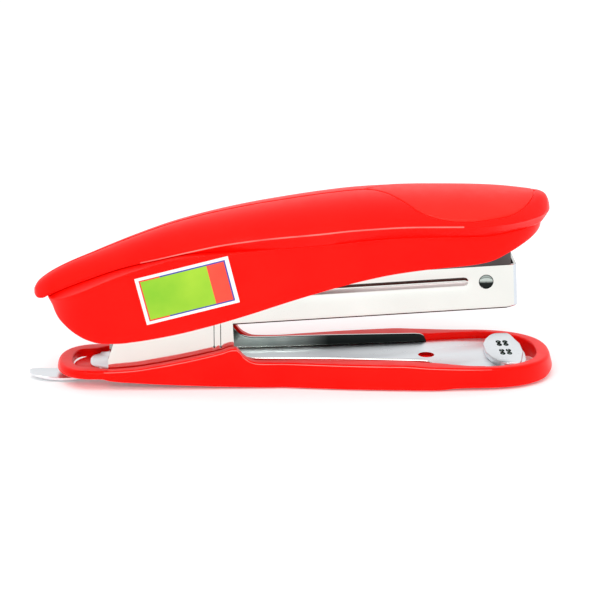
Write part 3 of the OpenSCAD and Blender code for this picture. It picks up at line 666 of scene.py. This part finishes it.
def channel_piece():
    """The base channel: a floor with rounded end, and sides folded up that rise into the hinge cheeks."""
    stations = crowd(-38.0, -33, 18) + crowd(-33, -14, 14)[1:] + crowd(-14, -7.4, 44)[1:] + crowd(-7.4, 26, 14)[1:] \
        + crowd(26, 28.9, 12)[1:]
    tops = {x: np.interp(x, [p[0] for p in CHANNEL_TOP], [p[1] for p in CHANNEL_TOP]) for x in stations}
    parts = []
    for s in (-1, 1):
        rings = []
        for x in stations:
            w, h, r = CHANNEL_OUT(x), max(tops[x], FLOOR + 0.15), 0.9
            outer = [(w - r, FLOOR - SHEET + 0.02)]
            outer += [(w - r + r * math.sin(a), FLOOR - SHEET + r - r * math.cos(a))
                      for a in [math.radians(18 * k) for k in range(1, 6)]]
            inner_r = r - SHEET
            inner = [(w - r + inner_r * math.sin(a), FLOOR - SHEET + r - inner_r * math.cos(a))
                     for a in [math.radians(18 * k) for k in range(5, 0, -1)]] + [(w - r, FLOOR - 0.02)]
            low = FLOOR - SHEET + r
            h = max(h, low + 0.15)
            rim = [(w, h - 0.1), (w - 0.1, h), (w - SHEET + 0.1, h), (w - SHEET, h - 0.1)]
            rings.append([(x, s * y, z) for y, z in outer + rim + inner])
        parts.append(loft(rings))
    half = [(-41.85, 1.6), (-41.4, 3.1), (-40.7, 4.0), (-39.9, 4.45), (-39.8, 5.6), (-38.4, 5.7), (-37.95, 6.4),
            (-8.3, 6.4), (28.4, 8.55), (29.2, 9.3), (33, 9.9), (38, 10.35), (42.5, 10.25), (45.4, 9.2), (47.4, 7.2),
            (48.5, 4.6)]
    edge = [(a, -b) for a, b in half] + [(48.85, 0)] + [(a, b) for a, b in reversed(half)]
    parts.append(plate(fillet(edge, 0.8), "z", FLOOR - SHEET, FLOOR, 0.1))
    v, f = join(*parts)
    o = new_object("base_channel", v, f, [NICKEL, SATIN, FLANGE_PAINTED_SHADE], "base", 35)
    for p in o.data.polygons:
        if p.normal.z > 0.9 and p.center.z < 3.5 * MM:
            p.material_index = 1
        # painted shade: the inward faces of the sides take the darkened finish
        elif p.normal.y * p.center.y < 0 and abs(p.normal.y) > 0.4:
            p.material_index = 2
    slots = [rod(FLOOR_HOLE_X, 0, 2, 1.7, 3), rod(ANVIL_RIVET_X, 0, 2, 0.95, 3),
             rod(TONGUE_RIVET_X, 0, 2, 0.95, 3)]
    for x in (-16.35, -15.0):
        slots.append(plate([(x, 8.3), (x + 0.16, 8.3), (x + 0.16, 15.5), (x, 15.5)], "y", -8, 8, 0.01))
        slots.append(rod(x + 0.08, -8, 8.25, 0.24, 16, "y", 16))
    for k, slot in enumerate(slots):
        boolean_cut(o, slot, crossing=k == 0)
    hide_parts("base_plate")


def anvil_piece():
    """The anvil: a pressed plate with two forming pockets, each a pair of short troughs."""
    half = [(-0.8, 9.8), (2.0, 9.8), (2.5, 8.7), (3.0, 6), (3.7, 2.5)]
    back_half = [(-1.9, 8.6), (-3.2, 6), (-4.1, 2.5)]
    edge = half + [(a, -b) for a, b in reversed(half)] + [(a, -b) for a, b in back_half] \
        + [(a, b) for a, b in reversed(back_half)]
    edge = fillet([(ANVIL_X + a, b) for a, b in edge], 0.6, 5)
    o = new_object("anvil_pressing", *plate(edge, "z", FLOOR + 0.02, 4.7, 0.2), [SATIN, SHADED], "base", 40)
    troughs = []
    for s in (-1, 1):
        for x in (43.7, 45.1):
            for d in (-1, 1):
                ball = lathe([(0, -1)] + [(math.sin(a), -math.cos(a)) for a in
                                          [math.radians(15 * k) for k in range(1, 12)]] + [(0, 1)], 32)
                troughs.append(placed(ball, Matrix.Translation((x, s * 2.86 + d * 0.92, 4.72))
                                      @ Matrix.Diagonal((0.56, 0.98, 0.85, 1))))
    for t in troughs:
        boolean_cut(o, t)
    # painted shade: the trough faces inside the pockets take the dark nickel
    for p in o.data.polygons:
        if 1 < abs(p.center.y) / MM < 5 and 42.6 < p.center.x / MM < 46.2 and 3.6 < p.center.z / MM < 4.62:
            p.material_index = 1
    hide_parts("anvil_plate")


def tongue_piece():
    """The staple remover: a tapered tongue with a rolled cross-section, dipping under the ring's rear."""
    run = law([(-54.5, 1.5), (-53, 1.2), (-50, 0.8), (-47, 0.7), (-43, 1.0), (-40, 1.8), (-34, 1.87)])
    width = law([(-54.5, 0.0), (-54.3, 1.1), (-53.6, 2.0), (-52, 2.65), (-47, 3.3), (-42, 3.7), (-34, 3.7)])
    thick = law([(-54.5, 0.24), (-52.5, 0.42), (-50, 0.6), (-34, 0.6)])
    rings = []
    for x in crowd(-54.49, -34, 70, at_a=True):
        w, z, t = max(0.12, width(x)), run(x), thick(x)
        ys = [w * math.sin(math.pi * k / 24) for k in range(-12, 13)]
        crown = 0.25 * min(1, max(0, (-42 - x) / 6))
        soft = [0.06 * (abs(y / w) > 0.99) for y in ys]
        top = [(x, y, z + t / 2 - crown * (y / w) ** 2 - d) for y, d in zip(ys, soft)]
        low = [(x, y, z - t / 2 - crown * (y / w) ** 2 + d) for y, d in zip(ys, soft)]
        rings.append(top + low[::-1])
    v, f = loft(rings, caps="strip")
    o = new_object("remover_tongue", v, f, SATIN, "base", 40)
    boolean_cut(o, rod(TONGUE_RIVET_X, 0, 0, 0.9, 5))
    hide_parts("staple_remover")


MAG_HALF, MAG_FRONT, MAG_LOW, MAG_HIGH = 5.2, 77.5, -5.1, 4.3
BEAD_V, BEAD_FRONT, BEAD_BACK = 1.18, 67.4, 12.0


def bead(u, v):
    """How far the magazine's side is pressed in at a place: a rounded groove with a soft dip round its end."""
    half = 0.85
    along = max(0, u - (BEAD_FRONT - half), (BEAD_BACK + half) - u)
    d = math.hypot(along, v - BEAD_V)
    groove = 0.56 * max(0, 1 - (d / half) ** 2) ** 0.95 if d < half else 0
    halo = 0.10 * math.exp(-((d - half) / 0.75) ** 2) if d > half else 0.10
    return groove + halo


def magazine_piece():
    """The magazine: one folded strip round the mouth, open on top, its floor, and the pressed beads."""
    corner = 0.9
    us = [-6, -5.2, -4.4, -3.6] + crowd(-2.8, 12, 10) + crowd(12, 64, 30)[1:] + crowd(64, 70, 40)[1:] \
        + crowd(70, MAG_FRONT - corner, 10)[1:]
    path = [((u, -MAG_HALF), (0, -1)) for u in us]
    for k in range(1, 9):
        a = math.radians(90 * k / 8)
        path.append(((MAG_FRONT - corner + corner * math.sin(a), -MAG_HALF + corner - corner * math.cos(a)),
                     (math.sin(a), -math.cos(a))))
    path += [((MAG_FRONT, y), (1, 0)) for y in np.linspace(-MAG_HALF + corner, MAG_HALF - corner, 9)[1:-1]]
    left = [((p[0], -p[1]), (n[0], -n[1])) for p, n in reversed(path[:len(us) + 8])]
    path += left
    bend = 0.5
    vs = [MAG_LOW + bend * (1 - math.cos(math.radians(15 * k))) for k in range(7)]
    vs += [*np.linspace(-4.2, -0.4, 8), *np.linspace(-0.1, 2.5, 33), *np.linspace(2.8, 4.1, 5), 4.22, 4.3]
    rings = []
    for (u, y), (nu, ny) in path:
        outer, inner = [], []
        front = max(0, min(1, (u - (MAG_FRONT - corner - 1.1)) / 1.3))
        for v in vs:
            low = MAG_LOW + 0.38 * front
            if u < -2.8:
                t = (u + 6) / 3.2
                lo_v, hi_v = mix(-2.6, MAG_LOW, math.sqrt(t)), mix(2.4, MAG_HIGH, math.sqrt(t))
            else:
                lo_v, hi_v = low, MAG_HIGH
            w = lo_v + (v - MAG_LOW) / (MAG_HIGH - MAG_LOW) * (hi_v - lo_v) if u < -2.8 or v < -4.3 else v
            press = bead(u, w) * abs(ny) if abs(ny) > 0.99 else 0
            ease = 0.07 if v == vs[-1] else 0
            if v < MAG_LOW + bend:
                press += bend - math.sqrt(bend ** 2 - (MAG_LOW + bend - v) ** 2)
            outer.append((u - nu * (press + ease), y - ny * (press + ease), w))
            inner.append((u - nu * (SHEET + press - ease), y - ny * (SHEET + press - ease), w))
        rings.append(outer + inner[::-1])
    shell = loft(rings, caps="strip")
    o = new_object("magazine_channel", *works(shell), [NICKEL, BEND_PAINTED_SHADE, SHADED, GROOVE_PAINTED_SHADE, GROOVE_LIT], "magazine", 40)
    # painted shade and painted light by face direction: front faces bluish shade, the groove's downward faces and the
    # bottom bend near-black shade, the groove's upward faces pale light, inner and downward faces dark shade
    for p in o.data.polygons:
        x, y, z = p.center / MM
        v = (z - HINGE[1]) * math.cos(TILT) - (x - HINGE[0]) * math.sin(TILT)
        outside = p.normal.y * y > 0
        pressed = outside and abs(v - BEAD_V) < 0.85 and x < 37
        underside = outside and v < MAG_LOW + 0.4 and p.normal.z < -0.3
        if p.normal.x > 0.12 and x > 40:
            p.material_index = 1
        elif pressed and p.normal.z < -0.12 or underside:
            p.material_index = 3
        elif pressed and p.normal.z > 0.2:
            p.material_index = 4
        elif p.normal.y * y < 0 and abs(p.normal.y) > 0.5 or p.normal.z < -0.16:
            p.material_index = 2
    pan = plate(fillet([(3, -4.7), (75.2, -4.7), (75.2, 4.7), (3, 4.7)], 0.3), "z", MAG_LOW + 0.02, MAG_LOW + SHEET,
                0.05)
    # painted shade: the floor inside the magazine is dark nickel
    pan = new_object("magazine_floor", *works(pan), SHADED, "magazine", 40)
    boolean_cut(o, works(rod(0, -7, 0, 1.25, 14, "y")))
    boolean_cut(o, works(rod(RIVET_U, -7, RIVET_V, 1.52, 14, "y", 64)))
    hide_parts("magazine_shell")


def side_rivet_pieces():
    """Two flush rivets, polished and slightly domed, with a small centre mark."""
    profile = [(0, 0.16), (0.12, 0.17), (0.2, 0.24)]
    profile += [(1.36 * math.sin(a), 0.24 * math.cos(a)) for a in
                [math.radians(6 * k) for k in range(2, 13)]]
    profile += [(1.38, 0.05), (1.4, -0.1), (1.4, -0.62), (0, -0.62)]
    for s, side in ((-1, "near"), (1, "far")):
        turn = Matrix.Rotation(math.radians(90 if s < 0 else -90), 4, "X")
        part = placed(lathe(profile, 64), Matrix.Translation((RIVET_U, s * (MAG_HALF - 0.06), RIVET_V)) @ turn)
        o = new_object("side_rivet_" + side, *works(part), RIVET_HEAD_PAINTED_SHADE, "magazine", 50)
        if s < 0:
            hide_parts("side_rivets")


def label_pieces():
    """A plain 20 by 10 mm sticker: white border, fine outline, green field and an orange end panel, no lettering."""
    cols = [-9.7, -9.0, -8.7, 5.0, 5.25, 8.6, 8.9, 9.7]
    rows = [-5.0, -4.4, -4.1, 4.1, 4.4, 5.0]
    middle_x, middle_z, tilt = -21.66, 21.57, math.radians(13.8)

    def at(s, t, lift):
        x = middle_x + s * math.cos(tilt) - t * math.sin(tilt)
        z = middle_z + s * math.sin(tilt) + t * math.cos(tilt)
        h = (z - skirt_low(x)) / (skirt_top(x) - skirt_low(x))
        return (x, -(skirt_out(x) + 0.12 * math.sin(math.pi * min(1, max(0, h))) + lift), z)

    def fine(edges, step):
        out = [edges[0]]
        for a, b in zip(edges, edges[1:]):
            n = max(1, round((b - a) / step))
            out += [a + (b - a) * k / n for k in range(1, n + 1)]
        return out

    ss, ts = fine(cols, 0.8), fine(rows, 0.8)
    verts, faces, mats = [], [], []
    for lift in (0.10, 0.02):
        verts += [at(s, t, lift) for t in ts for s in ss]
    n, m = len(ss), len(ts)
    for j in range(m - 1):
        for i in range(n - 1):
            s, t = (ss[i] + ss[i + 1]) / 2, (ts[j] + ts[j + 1]) / 2
            a = j * n + i
            faces.append((a, a + 1, a + n + 1, a + n))
            inside = -9.0 < s < 8.9 and -4.4 < t < 4.4
            line = inside and not (-8.7 < s < 8.6 and -4.1 < t < 4.1)
            if not inside:
                mats.append(0)
            elif line:
                mats.append(1 if s < -4.5 or (t > 0 and s < -5.5) else 2)
            else:
                mats.append(3 if s < 5.0 else 4)
            b = n * m + a
            faces.append((b, b + n, b + n + 1, b + 1))
            mats.append(0)
    rim = list(range(n)) + [j * n + n - 1 for j in range(1, m)]
    rim += [(m - 1) * n + i for i in range(n - 2, -1, -1)] + [j * n for j in range(m - 2, 0, -1)]
    for k in range(len(rim)):
        a, b = rim[k], rim[(k + 1) % len(rim)]
        faces.append((a, a + n * m, b + n * m, b))
        mats.append(0)
    me = bpy.data.meshes.new("sticker")
    me.from_pydata([tuple(c * MM for c in v) for v in verts], [], faces)
    for mat in LABEL_MATS:
        me.materials.append(mat)
    for p, k in zip(me.polygons, mats):
        p.material_index = k
    o = bpy.data.objects.new("sticker", me)
    bpy.context.scene.collection.objects.link(o)
    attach(o, "handle")
    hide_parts("label")


# ---------------------------------------------------------------- the works inside

CORE_BACK, CORE_FRONT, STRIP_BACK = 9.0, 75.2, 50.2


def core_piece():
    """The guide the staples straddle: a folded channel open at the top."""
    section = [(-3.85, 0.25), (-3.85, -4.45), (3.85, -4.45), (3.85, 0.25), (3.25, 0.25), (3.25, -3.85), (-3.25, -3.85),
               (-3.25, 0.25)]
    section = fillet(section, [0.12, 0.7, 0.7, 0.12, 0.12, 0.25, 0.25, 0.12])
    o = new_object("core_channel", *works(plate(section, "x", CORE_BACK, CORE_FRONT, 0.08)), NICKEL, "magazine")
    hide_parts("staple_core")


def staple_pieces():
    """The loaded strip, each staple its own bent wire with a hair of space to the next."""
    pitch, n = 0.595, 42
    section = [(-4.4, -4.2), (-4.4, 0.8), (4.4, 0.8), (4.4, -4.2), (3.9, -4.2), (3.9, 0.3), (-3.9, 0.3), (-3.9, -4.2)]
    section = fillet(section, [0.1, 0.45, 0.45, 0.1, 0.1, 0.25, 0.25, 0.1], 3)
    parts = [plate(section, "x", STRIP_BACK + pitch * k, STRIP_BACK + pitch * k + 0.55, 0.13) for k in range(n)]
    o = new_object("staples", *works(join(*parts)), WIRE, "magazine")
    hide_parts("staple_strip")


def coil_piece():
    """The spring behind the pusher: round wire, closed turns at each end."""
    r, wire, tight, open_turns, steps = 1.15, 0.2, 2, 17, 28
    u0, u1, near = 11.7, 43.4, 0.42
    turns = open_turns + 2 * tight
    rings = []
    for i in range(turns * steps + 1):
        t = i / steps
        if t < tight:
            u = u0 + near * t
        elif t > turns - tight:
            u = u1 - near * (turns - t)
        else:
            u = mix(u0 + near * tight, u1 - near * tight, (t - tight) / open_turns)
        a = 2 * math.pi * t
        ring = []
        for k in range(8):
            b = -2 * math.pi * k / 8
            d = r + wire * math.sin(b)
            ring.append((u + wire * math.cos(b), d * math.cos(a), ROD_V + d * math.sin(a)))
        rings.append(ring)
    o = new_object("coil", *works(loft(rings)), SPRING, "magazine", 60)
    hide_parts("pusher_spring")
    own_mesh(o)


def leaf_piece():
    """The return spring: a bent leaf that stands on the channel's floor and carries the magazine."""
    run = law([(-34, 3.5), (-30, 3.55), (-27, 4), (-24, 5.2), (-21, 7), (-18, 9), (-15.5, 10.5), (-14, 10.9),
               (-12.8, 10.7)])
    rings = []
    for x in crowd(-34, -12.8, 70, at_a=True, at_b=True):
        w = max(0.4, 3.2 * ends(x, -34.02, 0.9, -12.78, 1.3, 2.4))
        ys = [w * math.sin(math.pi * k / 16) for k in range(-8, 9)]
        soft = [0.06 * (abs(y) > 0.97 * w) for y in ys]
        rings.append([(x, y, run(x) + 0.4 - d) for y, d in zip(ys, soft)]
                     + [(x, y, run(x) + d) for y, d in zip(ys[::-1], soft)])
    o = new_object("return_leaf", *loft(rings, caps="strip"), SPRING, None)
    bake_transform(o)
    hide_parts("return_spring")


def turned_pieces():
    """The guide rod with eased ends and the hinge pin with two domed heads."""
    length = CORE_FRONT - ROD_BACK
    bar = lathe([(0, 0), (0.42, 0), (0.55, 0.05), (0.6, 0.18), (0.6, length - 0.18), (0.55, length - 0.05),
                 (0.42, length), (0, length)], 40)
    bar = placed(bar, Matrix.Translation((ROD_BACK, 0, ROD_V)) @ Matrix.Rotation(math.radians(90), 4, "Y"))
    o = new_object("guide_rod", *works(bar), SPRING, "magazine")
    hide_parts("pusher_rod")
    head = [(0, 7.66), (0.8, 7.63), (1.35, 7.52), (1.75, 7.33), (1.9, 7.17), (1.9, 7.08), (1.2, 7.07)]
    pin = lathe([(r, -h) for r, h in head] + head[::-1], 48)
    pin = placed(pin, Matrix.Translation((HINGE[0], 0, HINGE[1])) @ Matrix.Rotation(math.radians(-90), 4, "X"))
    o = new_object("pin", *pin, RIVET, "base")
    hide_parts("hinge_pin")


cap_piece()
pad_piece()
skirt_piece()
ring_piece()
channel_piece()
anvil_piece()
tongue_piece()
magazine_piece()
side_rivet_pieces()
label_pieces()
core_piece()
staple_pieces()
coil_piece()
leaf_piece()
turned_pieces()
for node, (mat, width) in KEPT.items():
    finish_kept(node, mat, width)

# ---------------------------------------------------------------- stage, light, camera

floor_mat, floor_nt, floor_bsdf = material("floor_white")
floor_nt.links.new(ramp(floor_nt, noise(floor_nt, 3), [(0.3, (0.93, 0.93, 0.93)), (0.7, (0.96, 0.96, 0.96))]),
                   floor_bsdf.inputs["Base Color"])
floor_bsdf.inputs["Roughness"].default_value = 0.9
floor_bsdf.inputs["Specular IOR Level"].default_value = 0.0
floor_bsdf.inputs["Emission Color"].default_value = (1, 1, 1, 1)
floor_bsdf.inputs["Emission Strength"].default_value = 0.1
mesh = bpy.data.meshes.new("floor")
mesh.from_pydata([(-3, -3, -0.0002), (3, -3, -0.0002), (3, 3, -0.0002), (-3, 3, -0.0002)], [], [(0, 1, 2, 3)])
floor = bpy.data.objects.new("floor", mesh)
floor.data.materials.append(floor_mat)
bpy.context.scene.collection.objects.link(floor)

world = bpy.data.worlds.new("studio")
bpy.context.scene.world = world
world.use_nodes = True
wt = world.node_tree
sky = wt.nodes.new("ShaderNodeTexCoord")
split = wt.nodes.new("ShaderNodeSeparateXYZ")
wt.links.new(sky.outputs["Generated"], split.inputs["Vector"])
height = span(wt, split.outputs["Z"], -1, 1, 0, 1)
shade = ramp(wt, height, [(0, (0.95, 0.95, 0.95)), (0.48, (0.9, 0.9, 0.9)), (0.505, (0.40, 0.43, 0.42)),
                          (0.54, (0.75, 0.78, 0.78)), (0.6, (0.95, 0.96, 0.97)), (1, (1, 1, 1))])
wt.links.new(shade, wt.nodes["Background"].inputs["Color"])
wt.nodes["Background"].inputs["Strength"].default_value = 0.96


def area_light(name, place, aim, size, power):
    d = bpy.data.lights.new(name, "AREA")
    d.shape = "RECTANGLE"
    d.size, d.size_y = size
    d.energy = power
    o = bpy.data.objects.new(name, d)
    o.location = place
    o.rotation_euler = (Vector(aim) - Vector(place)).to_track_quat("-Z", "Y").to_euler()
    bpy.context.scene.collection.objects.link(o)


area_light("key", (-0.1, -0.35, 0.7), (0, 0, 0.02), (0.5, 0.4), 1.4)
area_light("edge", (0, -0.47, 0.30), (0, 0, 0.02), (0.6, 0.008), 0.8)

AIM = Vector((1.7, 0, 15.8)) * MM
AZ, EL, DIST = math.radians(-3), math.radians(17.5), 0.52
METRES_PER_PIXEL, PICTURE = 0.000207, 600
back = Vector((math.sin(AZ) * math.cos(EL), -math.cos(AZ) * math.cos(EL), math.sin(EL)))
cam_data = bpy.data.cameras.new("camera")
cam_data.sensor_width = 36
cam_data.lens = cam_data.sensor_width * (DIST / METRES_PER_PIXEL) / PICTURE
cam = bpy.data.objects.new("camera", cam_data)
cam.location = AIM + back * DIST
cam.rotation_euler = (-back).to_track_quat("-Z", "Y").to_euler()
bpy.context.scene.collection.objects.link(cam)
bpy.context.scene.camera = cam
bpy.context.scene.view_settings.view_transform = "Standard"
